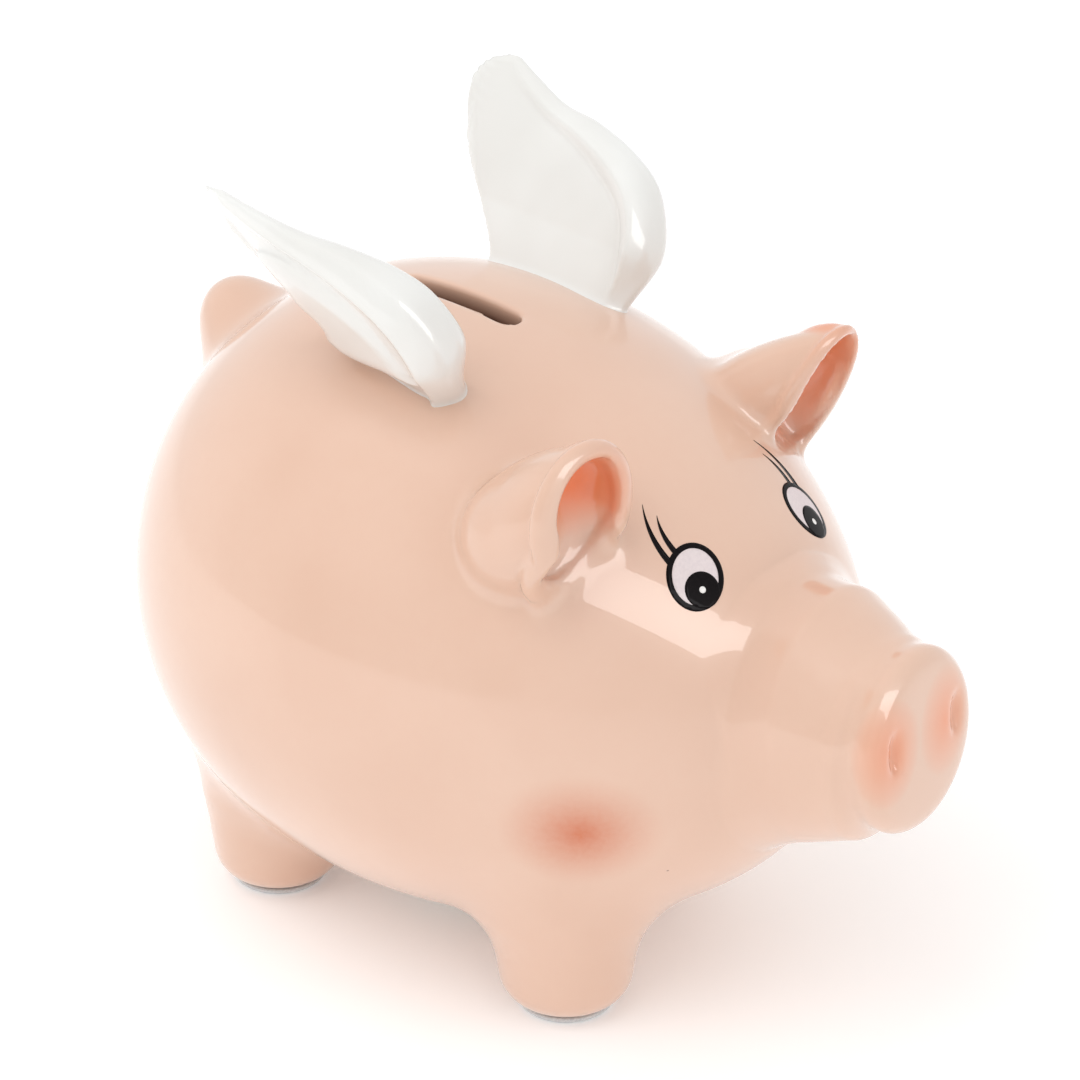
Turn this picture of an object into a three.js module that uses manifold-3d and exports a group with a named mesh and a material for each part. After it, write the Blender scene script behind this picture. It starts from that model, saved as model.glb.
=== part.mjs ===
// Glazed ceramic money bank: a fat pig with two wings on its back, a coin slot and a rubber belly stopper.
// Millimetres. The pig looks along -Y, its left side is +X, +Z is up, and it stands on Z = 0.
import * as THREE from 'three';
import { mergeVertices } from 'three/addons/utils/BufferGeometryUtils.js';
import Module from 'manifold-3d';

const wasm = await Module();
wasm.setup();

const WALL = 4.6;          // slip-cast wall
const GAP = 0.3;           // clearance between pieces that touch
const PRINT = 0.4;         // thickness given to the printed eyes
const BODY = { y: 0, length: 71.6, width: 59.5, height: 57.4, z: 62.9, nose: 4 };
const SNOUT = { y: -91.6, z: 65, wide: 15.8, tall: 17.2, tilt: 0.05, climb: 0.17 };
const LEG_X = 23.6;
const FEET = { front_right: -31.5, rear_right: 38.5, front_left: -15.5, rear_left: 35 };
const PAD = { radius: 8.8, height: 1.2 };
const SLOT = { x: -1.4, y: 11.4, length: 28, width: 4.8, lip: 0.9 };
const STOPPER = { y: 7.5, hole: 12, flange: 15.2, recess: 16.5, seat: 8.6 };
const EYE = { x: 13.4, y: -52.2, z: 92 };
const TAIL = { y: 62.4, z: 97.4, length: 12.6, width: 10.2, thick: 9 };

// Both ears were bent by hand. In degrees, the face tips up by `nod` and turns inwards by `turn`. Its lower
// end leans out by `lean`, `back` and `root` are radii, the trough opens below at the rate `open`, and the
// whole ear stands `out` further from the middle.
const EARS = {
  left: { nod: -13, turn: 9, lean: -0.3, back: 7.6, root: 9, open: 0.08, out: 0 },
  right: { nod: 11, turn: 0, lean: 0.3, back: 10.6, root: 7.6, open: 0.5, out: 1.5 },
};
const CUP = { depth: 7, long: 12, below: 34, wide: 6.8 };

const glaze = (color, roughness = 0.12) => new THREE.MeshStandardMaterial({ color, roughness, metalness: 0 });

function solid(geometry) {
  const bare = geometry.clone();
  bare.deleteAttribute('normal');
  bare.deleteAttribute('uv');
  const merged = mergeVertices(bare, 1e-4);
  return new wasm.Manifold(new wasm.Mesh({
    numProp: 3,
    vertProperties: new Float32Array(merged.attributes.position.array),
    triVerts: new Uint32Array(merged.index.array),
  }));
}

function geometryOf(body) {
  const mesh = body.getMesh();
  const geometry = new THREE.BufferGeometry();
  geometry.setAttribute('position', new THREE.BufferAttribute(new Float32Array(mesh.vertProperties), 3));
  geometry.setIndex(new THREE.BufferAttribute(new Uint32Array(mesh.triVerts), 1));
  geometry.computeVertexNormals();
  return geometry;
}

// A round solid: every point of a unit sphere is carried to its place by `place`.
function blob(around, along, place) {
  const geometry = new THREE.SphereGeometry(1, around, along);
  const points = geometry.attributes.position;
  const unit = new THREE.Vector3();
  for (let i = 0; i < points.count; i += 1) {
    const to = place(unit.fromBufferAttribute(points, i));
    points.setXYZ(i, to.x, to.y, to.z);
  }
  return solid(geometry);
}

function turned(profile, segments = 40) {
  const points = profile.map(([r, h]) => new THREE.Vector2(r, h));
  return new THREE.LatheGeometry(points, segments).rotateX(Math.PI / 2);
}

// Points of a quarter round on a lathe profile, from angle `from` to `to`.
function round(r, h, radius, from, to, steps = 4) {
  return Array.from({ length: steps + 1 }, (_, i) => {
    const angle = from + (to - from) * i / steps;
    return [r + radius * Math.cos(angle), h + radius * Math.sin(angle)];
  });
}

// The egg that head and belly form together, as a unit sphere grown evenly by `grow`.
// Its front end is drawn out towards the snout.
function onBody(unit, grow = 0) {
  const front = -unit.y;
  const muzzle = Math.min(14, 1640 * Math.max(0, front - 0.89) ** 1.8);
  const wide = BODY.width - 8.4 * front + grow;
  const tall = BODY.height - 6.3 * front + 2.9 * front * front + grow;
  return new THREE.Vector3(
    unit.x * wide,
    BODY.y + unit.y * (BODY.length + grow) - muzzle,
    BODY.z - BODY.nose * front + unit.z * tall,
  );
}

const bodyEgg = (grow, around = 48, along = 30) => blob(around, along, (unit) => onBody(unit, grow));
const clearOfBody = bodyEgg(GAP);

function legAt(x, y, profile, segments) {
  return solid(turned(profile, segments).translate(x, y, 0));
}

const feet = Object.entries(FEET).map(([name, y]) => [name.endsWith('left') ? LEG_X : -LEG_X, y]);

function legs() {
  const sole = PAD.height + GAP;
  const profile = [
    [0, sole], [7.5, sole], [10.2, sole + 1], [12, sole + 3.6], [12.6, sole + 7],
    [13.3, 14], [14.3, 20], [15, 36], [0, 36],
  ];
  return feet.map(([x, y]) => legAt(x, y, profile, 24));
}

// The snout's radius is given as a share of its face; the neck behind the face climbs towards the head.
function snout() {
  const profile = [
    [0, -30], [1.1, -30], [1.22, -19], [1.12, -14], [1.02, -9.5], [0.97, -6], [1, -3], [0.955, -1.1],
    [0.82, 0.2], [0.45, 0.65], [0, 0.75],
  ].map(([r, h]) => new THREE.Vector2(r, h));
  const turnedSnout = new THREE.LatheGeometry(profile, 32);
  turnedSnout.scale(SNOUT.wide, 1, SNOUT.tall).rotateX(Math.PI + SNOUT.tilt).translate(0, SNOUT.y, SNOUT.z);
  const points = turnedSnout.attributes.position;
  for (let i = 0; i < points.count; i += 1) {
    points.setZ(i, points.getZ(i) + SNOUT.climb * Math.max(0, points.getY(i) - SNOUT.y - 4));
  }
  return solid(turnedSnout);
}

function nostrils() {
  return [-1, 1].map((side) => blob(14, 8, (u) => new THREE.Vector3(
    side * 9.2 + u.x * 1.4, SNOUT.y - 0.2 + u.y * 2, SNOUT.z + 2.2 + u.z * 3.8,
  )));
}

// Outline of the coin slot: a long bar with round ends, grown by `extra` all round.
function slotShape(extra = 0) {
  const r = SLOT.width / 2 + extra;
  const half = SLOT.length / 2 - SLOT.width / 2;
  const shape = new THREE.Shape();
  shape.absarc(0, half, r, 0, Math.PI);
  shape.absarc(0, -half, r, Math.PI, 2 * Math.PI);
  return shape;
}

function slotCutter() {
  const top = BODY.z + BODY.height;
  const cut = new THREE.ExtrudeGeometry(slotShape(), { depth: 20, bevelEnabled: false, curveSegments: 6 });
  const lip = new THREE.ExtrudeGeometry(slotShape(), {
    depth: 10, bevelThickness: 1.4, bevelSize: SLOT.lip, bevelSegments: 2, curveSegments: 6,
  });
  return solid(cut.translate(SLOT.x, SLOT.y, top - 14)).add(solid(lip.translate(SLOT.x, SLOT.y, top - 0.6)));
}

function stopperHole() {
  const bore = (radius, top) => solid(turned([[0, -1], [radius, -1], [radius, top], [0, top]], 36));
  return bore(STOPPER.hole, 24).add(bore(STOPPER.recess, STOPPER.seat)).translate([0, STOPPER.y, 0]);
}

// The clay stays as thick round the stopper's recess: the cavity ends above it. Legs and snout are solid.
function cavity() {
  const floor = STOPPER.seat + WALL;
  const boss = solid(turned([[0, 0], [STOPPER.recess + WALL, 0], [STOPPER.recess + WALL, floor - 2],
    [STOPPER.recess + WALL - 2, floor], [0, floor]], 30).translate(0, STOPPER.y, 0));
  return bodyEgg(-WALL, 32, 20).subtract(boss);
}

function bodyShell() {
  const outside = [snout(), ...legs()].reduce((all, next) => all.add(next), bodyEgg(0));
  const cuts = [slotCutter(), stopperHole(), ...nostrils()];
  return cuts.reduce((clay, cut) => clay.subtract(cut), outside.subtract(cavity()));
}

// A flat leaf with round edges, blown up from an outline drawn forward (a) and up (b) in its own plane.
function wing() {
  const outline = new THREE.CatmullRomCurve3([
    [10.5, -8], [15, 2], [16.9, 12], [12.4, 22], [5, 27], [-4.5, 30], [-13, 31], [-21.5, 34.2], [-27, 36.3],
    [-32.4, 33.6], [-33.2, 26.5], [-29.6, 18], [-22.4, 9.4], [-16.2, 1.5], [-12, -8], [0, -12],
  ].map(([a, b]) => new THREE.Vector3(a, b, 0)), true);
  const middle = new THREE.Vector3(-3, 13, 0);
  const forward = new THREE.Vector3(0.086, -0.991, -0.098).normalize();
  const up = new THREE.Vector3(0.428, -0.052, 0.902);
  const out = new THREE.Vector3().crossVectors(up, forward).normalize();
  const root = new THREE.Vector3(24.5, 6.9, 115);
  return blob(36, 14, (unit) => {
    const turn = Math.atan2(unit.z, unit.x) / (2 * Math.PI);
    const edge = outline.getPoint((turn + 1) % 1);
    const spread = Math.hypot(unit.x, unit.z);
    const at = edge.sub(middle).multiplyScalar(spread).add(middle);
    const tip = Math.max(0, Math.min(1, (14 - at.x) / 45));
    const neck = Math.max(0, Math.min(1, (10 - at.y) / 15));
    const slim = 1 - 0.84 * tip;
    const thick = 6.8 * slim * (1 - 0.4 * neck);
    const twist = THREE.MathUtils.clamp(0.35 * tip * tip * (0.75 * at.x + 0.66 * at.y - 6), -4, 4);
    const curl = 7.6 * tip * tip - 1.5 * tip + twist - 1.8 * slim;
    return root.clone()
      .addScaledVector(forward, at.x)
      .addScaledVector(up, at.y)
      .addScaledVector(out, unit.y * thick + curl);
  }).subtract(clearOfBody);
}

const crossing = (v, axis) => v.addScaledVector(axis, -v.dot(axis)).normalize();

// The directions across an ear's cup, down it and out of it, for an ear on the left side.
function cupAxes({ nod, turn, lean }) {
  const out = new THREE.Vector3(0.16, -0.975, -0.12).normalize()
    .applyAxisAngle(new THREE.Vector3(0, 0, 1), -THREE.MathUtils.degToRad(turn))
    .applyAxisAngle(new THREE.Vector3(1, 0, 0), -THREE.MathUtils.degToRad(nod));
  const down = crossing(new THREE.Vector3(lean, 0.37, -0.93), out);
  return [new THREE.Vector3().crossVectors(down, out), down, out];
}

// A trough that is closed above and open below, with all that lies beyond the ear's face.
function earCup(bend) {
  const [across, down, out] = cupAxes(bend);
  const centre = new THREE.Vector3(32.8 + bend.out, -43.4, 107);
  const trough = blob(22, 14, (u) => {
    const fall = u.y * (u.y < 0 ? CUP.long : CUP.below);
    const opening = bend.open * Math.max(fall + 2, 0);
    return centre.clone()
      .addScaledVector(across, (CUP.wide + opening) * (1 + u.x) - CUP.wide)
      .addScaledVector(down, fall)
      .addScaledVector(out, u.z * CUP.depth);
  });
  const beyond = new THREE.BoxGeometry(70, 90, 40).translate(0, 0, 20.6);
  const place = new THREE.Matrix4().makeBasis(across, down, out).setPosition(centre);
  return trough.add(solid(beyond.applyMatrix4(place)));
}

// A fat leaf that leans forwards over a round root, hollowed in front.
function ear(bend) {
  const along = new THREE.Vector3(0.12, -0.74, 0.66).normalize();
  const side = crossing(new THREE.Vector3(0.9, -0.2, -0.39), along);
  const face = new THREE.Vector3().crossVectors(side, along);
  const centre = new THREE.Vector3(31.6 + bend.out, -34.9, 103.9);
  const leaf = blob(28, 16, (u) => centre.clone()
    .addScaledVector(along, u.y * 20.5)
    .addScaledVector(side, u.x * (12.2 - 2 * u.y))
    .addScaledVector(face, u.z * ((u.z < 0 ? bend.back : 10.6) - 1.6 * u.y)));
  const foot = new THREE.Vector3(34 + bend.out, -28.6, 99.4);
  const root = blob(22, 14, (u) => foot.clone().addScaledVector(u, bend.root));
  return leaf.add(root).subtract(earCup(bend)).subtract(clearOfBody);
}

function tail() {
  const along = new THREE.Vector3(0, 0.72, 0.69).normalize();
  const lift = new THREE.Vector3(0, -0.69, 0.72).normalize();
  return blob(26, 16, (u) => new THREE.Vector3(u.x * (TAIL.width - 0.8 * u.y), TAIL.y, TAIL.z)
    .addScaledVector(along, u.y * TAIL.length)
    .addScaledVector(lift, u.z * TAIL.thick)).subtract(clearOfBody);
}

function stopper() {
  const top = STOPPER.seat - GAP;
  const under = top - 3;
  const neck = STOPPER.hole - GAP;
  const profile = [
    [0, under + 1.6], [8, under + 1.6], [9, under + 0.2],
    ...round(STOPPER.flange - 1, under + 1, 1, -Math.PI / 2, 0, 3),
    ...round(STOPPER.flange - 0.8, top - 0.8, 0.8, 0, Math.PI / 2, 3),
    [neck, top], [neck, top + WALL + 0.6], [neck - 1.6, top + WALL + 4], [neck - 3.4, top + WALL + 4.4],
    [neck - 4, top + 3], [0, top + 3],
  ];
  const grip = new THREE.BoxGeometry(15, 2.6, 2).translate(0, 0, under + 1.3);
  return solid(turned(profile, 30)).add(solid(grip)).translate([0, STOPPER.y, 0]);
}

const pads = () => feet.map(([x, y]) => legAt(x, y, [
  [0, 0], [PAD.radius, 0], [PAD.radius, PAD.height], [0, PAD.height],
], 24));

// The left eye's prints are drawn flat as seen from its own direction, with `across` away from the nose.
const eyeFrame = (() => {
  const centre = new THREE.Vector3(EYE.x, EYE.y, EYE.z);
  const out = new THREE.Vector3(0.28, -0.66, 0.69).normalize();
  const across = new THREE.Vector3(0.85, 0.52, 0.15);
  across.addScaledVector(out, -across.dot(out)).normalize();
  const up = new THREE.Vector3().crossVectors(out, across);
  return { centre, out, across, up };
})();

function ellipseShape(x, y, wide, tall, turn = 0) {
  const shape = new THREE.Shape();
  shape.absellipse(x, y, wide, tall, 0, 2 * Math.PI, false, turn);
  return shape;
}

function lashShape(from, bend, to, thick) {
  const shape = new THREE.Shape();
  shape.moveTo(from[0] - thick, from[1]);
  shape.quadraticCurveTo(bend[0] - thick, bend[1], to[0], to[1]);
  shape.quadraticCurveTo(bend[0] + thick, bend[1] - thick, from[0] + thick, from[1] - thick * 0.6);
  return shape;
}

// Flat shapes pushed through the skin: what lies in a thin layer just above the glaze, less `without`.
function printed(shapes, without = []) {
  const { centre, out, across, up } = eyeFrame;
  const place = new THREE.Matrix4().makeBasis(across, up, out).setPosition(centre);
  const prism = (shape) => solid(new THREE.ExtrudeGeometry(shape, {
    depth: 16, bevelEnabled: false, curveSegments: 9,
  }).translate(0, 0, -8).applyMatrix4(place));
  const layer = bodyEgg(GAP + PRINT).subtract(bodyEgg(GAP));
  const all = shapes.map(prism).reduce((sum, next) => sum.add(next));
  return without.map(prism).reduce((rest, next) => rest.subtract(next), all).intersect(layer);
}

const RING = { x: 1.5, y: -2.3, wide: 5.3, tall: 6.1, stroke: 1.05, turn: 0.1 };
const PUPIL = { x: 0.5, y: -4.7, radius: 3.25 };
const GLINT = { x: 0.5, y: -4.7, radius: 0.6 };
const SEAM = 0.2;

const pupilShape = (grow) => ellipseShape(PUPIL.x, PUPIL.y, PUPIL.radius + grow, PUPIL.radius + grow);
const glintShape = (grow) => ellipseShape(GLINT.x, GLINT.y, GLINT.radius + grow, GLINT.radius + grow);
const ringShape = (inset) => ellipseShape(RING.x, RING.y, RING.wide - inset, RING.tall - inset, RING.turn);

function eyeBlack() {
  const lashes = [
    lashShape([5.6, 0], [9.3, 5], [9, 11.2], 0.55),
    lashShape([4.4, 1.9], [6.9, 5.4], [6.8, 9], 0.5),
  ];
  const ring = printed([ringShape(0), ...lashes], [ringShape(RING.stroke)]);
  return ring.add(printed([pupilShape(0)], [glintShape(SEAM)]));
}

const eyeWhite = () => printed([ringShape(RING.stroke + SEAM)], [pupilShape(SEAM)]);
const eyeGlint = () => printed([glintShape(0)]);

function mirrored(geometry) {
  const other = geometry.clone().scale(-1, 1, 1);
  const index = other.index.array;
  for (let i = 0; i < index.length; i += 3) [index[i], index[i + 1]] = [index[i + 1], index[i]];
  other.computeVertexNormals();
  return other;
}

const group = new THREE.Group();
group.name = 'piggy_bank';

function add(name, geometry, material) {
  const mesh = new THREE.Mesh(geometry, material);
  mesh.name = name;
  group.add(mesh);
}

function addPair(name, body, material) {
  const geometry = geometryOf(body);
  add(`${name}_left`, geometry, material.clone());
  add(`${name}_right`, mirrored(geometry), material.clone());
}

add('body_shell', geometryOf(bodyShell()), glaze(0xefcdba));
add('ear_left', geometryOf(ear(EARS.left)), glaze(0xecc3ad));
add('ear_right', mirrored(geometryOf(ear(EARS.right))), glaze(0xecc3ad));
addPair('wing', wing(), glaze(0xecece8));
add('tail', geometryOf(tail()), glaze(0xeecbb8));
add('stopper', geometryOf(stopper()), glaze(0xd9d6cf, 0.6));
pads().forEach((pad, i) => add(`foot_pad_${Object.keys(FEET)[i]}`, geometryOf(pad), glaze(0xdcdcdc, 0.7)));
addPair('eye_print_black', eyeBlack(), glaze(0x0b0709, 0.25));
addPair('eye_print_white', eyeWhite(), glaze(0xe6dcdc, 0.25));
addPair('eye_glint', eyeGlint(), glaze(0xf4f0ee, 0.25));

// The origin sits under the middle of the whole bank.
const box = new THREE.Box3().setFromObject(group);
const middle = (box.min.y + box.max.y) / 2;
group.children.forEach((mesh) => mesh.geometry.translate(0, -middle, 0));

export default group;
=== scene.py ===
import math

import bpy
import numpy as np
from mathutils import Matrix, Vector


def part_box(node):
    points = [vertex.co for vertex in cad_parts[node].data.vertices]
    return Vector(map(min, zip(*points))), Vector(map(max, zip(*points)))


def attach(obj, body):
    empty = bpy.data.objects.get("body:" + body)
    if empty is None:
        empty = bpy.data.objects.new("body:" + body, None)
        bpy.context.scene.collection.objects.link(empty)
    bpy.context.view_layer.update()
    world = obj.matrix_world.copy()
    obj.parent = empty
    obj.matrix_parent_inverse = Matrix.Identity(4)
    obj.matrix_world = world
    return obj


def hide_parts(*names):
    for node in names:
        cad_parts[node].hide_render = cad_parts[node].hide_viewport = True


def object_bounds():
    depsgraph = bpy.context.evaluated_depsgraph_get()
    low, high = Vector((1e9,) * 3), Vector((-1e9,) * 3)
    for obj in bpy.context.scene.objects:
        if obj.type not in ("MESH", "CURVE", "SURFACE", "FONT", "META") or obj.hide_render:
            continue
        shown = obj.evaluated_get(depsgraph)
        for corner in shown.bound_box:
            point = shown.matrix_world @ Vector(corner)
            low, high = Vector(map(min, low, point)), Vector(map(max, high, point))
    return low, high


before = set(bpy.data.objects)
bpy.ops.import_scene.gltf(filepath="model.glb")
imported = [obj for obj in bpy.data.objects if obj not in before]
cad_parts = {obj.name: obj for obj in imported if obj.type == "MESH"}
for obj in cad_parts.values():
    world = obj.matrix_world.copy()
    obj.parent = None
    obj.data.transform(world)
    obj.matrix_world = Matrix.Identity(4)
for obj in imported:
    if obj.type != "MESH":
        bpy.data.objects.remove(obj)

import openvdb
from mathutils import Matrix, Vector
from mathutils.bvhtree import BVHTree
from mathutils.geometry import delaunay_2d_cdt

CAD_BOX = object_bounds()
MM = 0.001  # the shapes below are worked out in millimetres in the row frame

# Driving sizes of the ceramic, in millimetres. Places come from the CAD nodes' boxes.
WALL = 4.6
EGG = {"length": 71.6, "width": 59.5, "height": 57.4, "z": 62.9, "nose": 4.0}
SNOUT = {"z": 65.0, "wide": 15.8, "tall": 17.2, "tilt": 0.05, "climb": 0.17, "radius": 16.1}
SLOT = {"length": 28.0, "width": 4.8, "lip": 0.6, "x": -1.4, "y": 11.4}
STOPPER = {"hole": 12.0, "recess": 16.5, "seat": 8.6, "flange": 15.2}
SKIN_STEP = 0.75
WING_STEP = 0.5

# The camera and the room. Angles are an azimuth from -Y and an elevation, in degrees; sizes are in metres.
CAMERA = {"from": (-51.16, 27.58), "target": (0.0288, 0.0264, 0.0574), "away": 0.8596, "lens": 149.9}
ROOM = 0.92
DIM_WALL = {"towards": (-105, 22), "spread": (38, 48), "level": 0.6}
STRIP = {"ends": ((10, 7), (-40, 46)), "away": 1.0, "width": 0.3, "radiance": 3.6}
OVERHEAD = {"towards": (-112, 52), "away": 1.4, "size": (1.5, 1.5), "radiance": 1.3}


def box_mm(node):
    """Lowest and highest corner of a CAD node, in millimetres."""
    low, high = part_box(node)
    return np.array(low) / MM, np.array(high) / MM


SHELL_LOW, SHELL_HIGH = box_mm("body_shell")
EGG_Y = SHELL_HIGH[1] - EGG["length"]


def unit(*v):
    v = np.array(v, float)
    return v / np.linalg.norm(v)


def across_to(v, axis):
    """v with its part along axis taken away, at unit length."""
    v = np.array(v, float)
    return unit(*(v - axis * v.dot(axis)))


# ---------------------------------------------------------------- fields of distances


def soft_min(a, b, round_over):
    """The lower of two distances, with the corner between them filled to a round."""
    near = np.maximum(round_over - np.abs(a - b), 0.0) / round_over
    return np.minimum(a, b) - near * near * round_over / 4


def as_distance(level, step):
    """A level set's values scaled so that they grow by one a millimetre at its surface."""
    slopes = np.gradient(level, step)
    steepness = np.sqrt(sum(s * s for s in slopes))
    return level / np.maximum(steepness, 1e-4)


class Clay:
    """Signed distances on a regular grid, negative inside, in the grid's own axes."""

    def __init__(self, low, high, step):
        self.low = np.array(low, float)
        self.step = step
        self.shape = tuple(int(n) + 1 for n in np.ceil((np.array(high) - self.low) / step))
        self.field = np.full(self.shape, 50.0, np.float32)

    def window(self, low, high):
        """The part of the grid in a box, and its x, y and z, ready to combine."""
        first = np.maximum(np.floor((np.array(low) - self.low) / self.step).astype(int), 0)
        last = np.minimum(np.ceil((np.array(high) - self.low) / self.step).astype(int) + 1, self.shape)
        part = tuple(slice(a, b) for a, b in zip(first, last))
        axes = [self.low[i] + self.step * np.arange(first[i], last[i]) for i in range(3)]
        x, y, z = np.meshgrid(*axes, indexing="ij", sparse=True)
        return part, x, y, z

    def add(self, low, high, level, round_over=0.01):
        """Joins on a shape given as a level set, with a round of that size at the joint."""
        part, x, y, z = self.window(low, high)
        shape = as_distance(np.broadcast_to(level(x, y, z), self.field[part].shape), self.step)
        self.field[part] = soft_min(self.field[part], shape, round_over)

    def cut(self, low, high, level, round_over=0.01):
        """Cuts a shape away, with the edge of the cut rounded over."""
        part, x, y, z = self.window(low, high)
        shape = as_distance(np.broadcast_to(level(x, y, z), self.field[part].shape), self.step)
        self.field[part] = -soft_min(-self.field[part], shape, round_over)

    def normals_at(self, points):
        """Outward unit normals from the field's slope, for points in the grid's axes."""
        place = (points - self.low) / self.step
        slope = np.stack([self._slope(place, axis) for axis in range(3)], axis=1)
        return slope / np.maximum(np.linalg.norm(slope, axis=1, keepdims=True), 1e-9)

    def _slope(self, place, axis):
        ahead = place.copy()
        behind = place.copy()
        ahead[:, axis] += 1
        behind[:, axis] -= 1
        return self.sample(ahead) - self.sample(behind)

    def sample(self, place):
        """The field between grid points, where place counts grid steps."""
        top = np.array(self.shape) - 2
        base = np.clip(np.floor(place).astype(int), 0, top)
        share = np.clip(place - base, 0, 1)
        total = np.zeros(len(place))
        for corner in np.ndindex(2, 2, 2):
            weight = np.prod(np.where(corner, share, 1 - share), axis=1)
            i, j, k = (base + corner).T
            total += weight * self.field[i, j, k]
        return total

    def surface(self):
        """Points and quads of the zero surface, in the grid's axes, facing out."""
        grid = openvdb.FloatGrid(4 * self.step)
        grid.copyFromArray(np.clip(self.field, -4 * self.step, 4 * self.step))
        points, quads = grid.convertToQuads(0.0)
        points = points * self.step + self.low
        for _ in range(2):
            place = (points - self.low) / self.step
            points = points - self.normals_at(points) * self.sample(place)[:, None] * 0.8
        return points, facing_out(points, quads)


def facing_out(points, faces):
    """The faces, turned over if they enclose a negative volume."""
    a, b, c = (points[faces[:, i]] for i in range(3))
    volume = np.einsum("ij,ij->", a - points.mean(0), np.cross(b - points.mean(0), c - points.mean(0)))
    return faces if volume > 0 else faces[:, ::-1]


def mesh_object(name, points, faces):
    """A mesh object from millimetre points."""
    mesh = bpy.data.meshes.new(name)
    mesh.from_pydata((np.asarray(points) * MM).tolist(), [], [list(map(int, f)) for f in faces])
    mesh.validate()
    mesh.shade_smooth()
    made = bpy.data.objects.new(name, mesh)
    bpy.context.scene.collection.objects.link(made)
    return made


def coordinates(made):
    """A mesh object's points in millimetres."""
    flat = np.empty(len(made.data.vertices) * 3, np.float32)
    made.data.vertices.foreach_get("co", flat)
    return flat.reshape(-1, 3).astype(float) / MM


def apply_modifiers(made):
    """Turns what the modifiers give into the object's own mesh."""
    bpy.context.view_layer.update()
    evaluated = made.evaluated_get(bpy.context.evaluated_depsgraph_get())
    result = bpy.data.meshes.new_from_object(evaluated)
    made.modifiers.clear()
    made.data = result


# ---------------------------------------------------------------- shapes of the ceramic

FRONTS = np.linspace(-1.3, 1.3, 521)
MUZZLE = np.minimum(14.0, 1640 * np.maximum(0, FRONTS - 0.89) ** 1.8)
EGG_YS = EGG_Y - FRONTS * EGG["length"] - MUZZLE


def egg_level(x, y, z):
    """0 on the egg that head and belly form together, whose front is drawn out to the muzzle."""
    front = np.interp(y, EGG_YS[::-1], FRONTS[::-1])
    kept = np.clip(front, -1.0, 1.0)
    wide = EGG["width"] - 8.4 * kept
    tall = EGG["height"] - 6.3 * kept + 2.9 * kept * kept
    middle = EGG["z"] - EGG["nose"] * kept
    return np.sqrt((x / wide) ** 2 + front**2 + ((z - middle) / tall) ** 2) - 1


def egg_distance(x, y, z):
    """Rough distance from the egg at loose points."""
    e = 0.1
    here = egg_level(x, y, z)
    slope = np.sqrt(
        ((egg_level(x + e, y, z) - here) / e) ** 2
        + ((egg_level(x, y + e, z) - here) / e) ** 2
        + ((egg_level(x, y, z + e) - here) / e) ** 2
    )
    return here / slope


def smooth_curve(corners, steps=8, closed=True):
    """Points along a Catmull-Rom curve through the corners."""
    corners = np.array(corners, float)
    count = len(corners)
    if closed:
        ring = [corners[(i - 1) % count] for i in range(count + 3)]
    else:
        ring = [corners[0], *corners, corners[-1]]
    ring = np.array(ring)
    t = np.linspace(0, 1, steps, endpoint=False)[:, None]
    points = []
    for a, b, c, d in zip(ring, ring[1:], ring[2:], ring[3:]):
        points.append(
            0.5 * (2 * b + (c - a) * t
                   + (2 * a - 5 * b + 4 * c - d) * t**2
                   + (3 * b - a - 3 * c + d) * t**3)
        )
    return np.concatenate(points)


def outline_distance(u, v, outline):
    """Signed distance in a plane from a closed outline, negative inside."""
    best = np.full(np.broadcast(u, v).shape, 1e9)
    inside = np.zeros(best.shape, bool)
    for (au, av), (bu, bv) in zip(outline, np.roll(outline, -1, axis=0)):
        eu, ev = bu - au, bv - av
        share = np.clip(((u - au) * eu + (v - av) * ev) / (eu * eu + ev * ev + 1e-12), 0, 1)
        best = np.minimum(best, (u - au - share * eu) ** 2 + (v - av - share * ev) ** 2)
        crosses = (av > v) != (bv > v)
        inside ^= crosses & (u < au + eu * (v - av) / (ev if ev else 1e-12))
    return np.where(inside, -1, 1) * np.sqrt(best)


def turned_level(outline, centre, swell=(1.0, 1.0), tilt=0.0):
    """A lathe shape about an axis along -Y through centre, from (radius, depth behind the face) points."""
    ring = np.array([*outline, *[(-r, h) for r, h in reversed(outline)]], float)
    cos, sin = math.cos(tilt), math.sin(tilt)

    def level(x, y, z):
        forward = -(y - centre[1]) * cos + (z - centre[2]) * sin
        rise = (y - centre[1]) * sin + (z - centre[2]) * cos
        radius = np.sqrt((x / swell[0]) ** 2 + (rise / swell[1]) ** 2)
        return outline_distance(radius, forward + 0 * radius, ring)

    return level


def upright_level(outline, x0, y0):
    """A lathe shape about a vertical axis, from (radius, height) points."""
    ring = np.array([*outline, *[(-r, h) for r, h in reversed(outline)]], float)

    def level(x, y, z):
        radius = np.hypot(x - x0, y - y0)
        return outline_distance(radius + 0 * z, z + 0 * radius, ring)

    return level


def snout_level():
    """The flat round snout and the short neck behind it."""
    r = SNOUT["radius"]
    outline = smooth_curve(
        [(0.0, 0.75), (0.45, 0.65), (0.82, 0.2), (0.955, -1.1),
         (1.0, -3.0), (0.95, -6.2), (1.0, -9.5), (1.11, -14)],
        steps=5,
        closed=False,
    )
    outline = [(p * r, h) for p, h in [*outline, (1.22, -19), (1.1, -30), (0.0, -30)]]
    swell = (SNOUT["wide"] / r, SNOUT["tall"] / r)
    face = SHELL_LOW[1] + 1.1
    straight = turned_level(outline, (0, face, SNOUT["z"]), swell, SNOUT["tilt"])
    return lambda x, y, z: straight(x, y, z - SNOUT["climb"] * np.maximum(y - face - 4, 0))


def add_snout(clay):
    low = (-22, SHELL_LOW[1] - 4, SNOUT["z"] - 24)
    high = (22, SHELL_LOW[1] + 32, SNOUT["z"] + 24)
    clay.add(low, high, snout_level(), round_over=7)


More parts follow.
